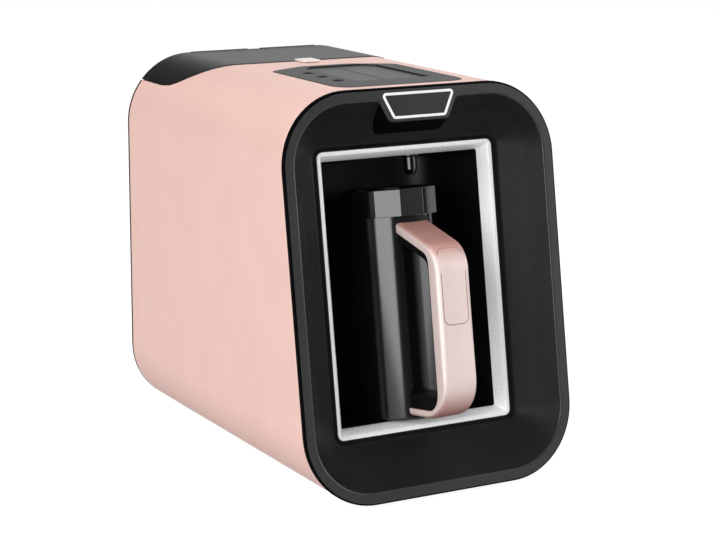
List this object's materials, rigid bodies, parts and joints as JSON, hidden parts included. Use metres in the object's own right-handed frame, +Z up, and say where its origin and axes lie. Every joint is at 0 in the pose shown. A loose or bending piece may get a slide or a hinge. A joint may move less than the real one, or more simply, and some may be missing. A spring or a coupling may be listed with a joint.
{
  "type": "electric turkish coffee maker",
  "caption": "Countertop Turkish coffee maker with a leaning front, a lift-out coffee pot in a chrome-framed niche, two top keys and a removable water tank with a hinged lid.",
  "frame": {"origin": "on the surface that the rubber feet stand on, under the centre of the whole part's box", "axes": "+Z up; -Y is the leaning front with the pot, +Y the back with the cord inlet; +X to the right of someone facing the front, where the keys are"},
  "size_m": [0.19, 0.2831, 0.2491],
  "materials": {
    "rose_shell": "satin metallic lacquer",
    "front_black": "fine satin moulding",
    "niche_black": "fine moulding",
    "gloss_black": "polished",
    "chrome": "polished plating",
    "badge_gloss": "polished, bare",
    "panel_grey": "fine satin moulding",
    "key_grey": "fine satin moulding",
    "lid_grey": "fine satin moulding",
    "lamp_lens": "smoked translucent",
    "pot_black": "glossy coating",
    "rose_grip": "satin metallic lacquer",
    "grip_core": "fine moulding",
    "tank_clear": "smoked clear moulding",
    "inner_moulding": "plain moulding",
    "heater_steel": "turned face",
    "zinc_steel": "zinc plated",
    "spring_steel": "drawn wire",
    "cast_aluminium": "plain",
    "element_sheath": "oxidised sheath",
    "ceramic_felt": "pressed fibre",
    "rubber_black": "matte",
    "silicone_clear": "translucent",
    "board_green": "solder mask",
    "component_black": "moulded case",
    "component_yellow": "taped winding",
    "relay_blue": "moulded case",
    "lamp_white": "diffused"
  },
  "bodies": {
    "housing": {"badge_plate": "badge_gloss", "badge_trim": "chrome", "base_plate": "inner_moulding", "base_screws": "zinc_steel", "board_screws": "zinc_steel", "body_sleeve": "rose_shell", "bulkhead": "inner_moulding", "capacitors": "component_black", "cavity_liner": "niche_black", "chrome_frame": "chrome", "control_board": "board_green", "control_panel": "panel_grey", "cord_gland": "rubber_black", "feed_hose": "silicone_clear", "front_bezel": "front_black", "heater_cup": "cast_aluminium", "heater_gasket": "silicone_clear", "heater_plate": "heater_steel", "heating_element": "element_sheath", "indicator_leds": "lamp_white", "indicator_lenses": "lamp_lens", "inlet_seal": "silicone_clear", "insulation_pad": "ceramic_felt", "key_carrier": "inner_moulding", "liner_screws": "zinc_steel", "overflow_sensor": "component_black", "panel_screws": "zinc_steel", "power_board": "board_green", "power_board_screws": "zinc_steel", "pump_cradle": "rubber_black", "pump_head": "inner_moulding", "pump_motor": "zinc_steel", "rear_cover": "niche_black", "rear_cover_screws": "zinc_steel", "relay": "relay_blue", "rubber_feet": "rubber_black", "sensor_window": "gloss_black", "suction_hose": "silicone_clear", "tact_switches": "component_black", "tank_bay": "inner_moulding", "temperature_sensor": "cast_aluminium", "terminal_block": "lamp_white", "thermal_fuse": "lamp_white", "transformer": "component_yellow", "water_nozzle": "gloss_black"},
    "pot": {"pot_body": "pot_black", "pot_collar": "gloss_black", "handle_shell": "rose_grip", "handle_inset": "rose_grip", "handle_core": "grip_core", "handle_studs": "zinc_steel"},
    "water_tank": {"water_tank": "tank_clear", "valve_cage": "inner_moulding", "valve_spring": "spring_steel"},
    "tank_lid": {"tank_lid": "lid_grey", "lid_hinge_pin": "zinc_steel", "lid_tab": "lid_grey"},
    "left_key": {"key_left": "key_grey"},
    "right_key": {"key_right": "key_grey"},
    "tank_valve": {"valve_plunger": "silicone_clear"}
  },
  "joints": [
    {"name": "pot_slide", "type": "slide", "parent": "housing", "child": "pot", "axis": [0, -0.9861, 0.1664], "range_m": [0, 0.15]},
    {"name": "tank_lift", "type": "slide", "parent": "housing", "child": "water_tank", "axis": [0, 0, 1], "range_m": [0, 0.2]},
    {"name": "lid_hinge", "type": "hinge", "parent": "water_tank", "child": "tank_lid", "pos_m": [0, 0.1363, 0.2455], "axis": [-1, 0, 0], "range_deg": [0, 90]},
    {"name": "left_key_press", "type": "slide", "parent": "housing", "child": "left_key", "axis": [0, 0, -1], "range_m": [0, 0.0008], "stiffness_N_per_m": 800, "springref_m": -0.0006},
    {"name": "right_key_press", "type": "slide", "parent": "housing", "child": "right_key", "axis": [0, 0, -1], "range_m": [0, 0.0008], "stiffness_N_per_m": 800, "springref_m": -0.0006},
    {"name": "valve_lift", "type": "slide", "parent": "water_tank", "child": "tank_valve", "axis": [0, 0, 1], "range_m": [0, 0.002], "stiffness_N_per_m": 300, "springref_m": -0.003, "deforming": ["valve_spring"]}
  ]
}
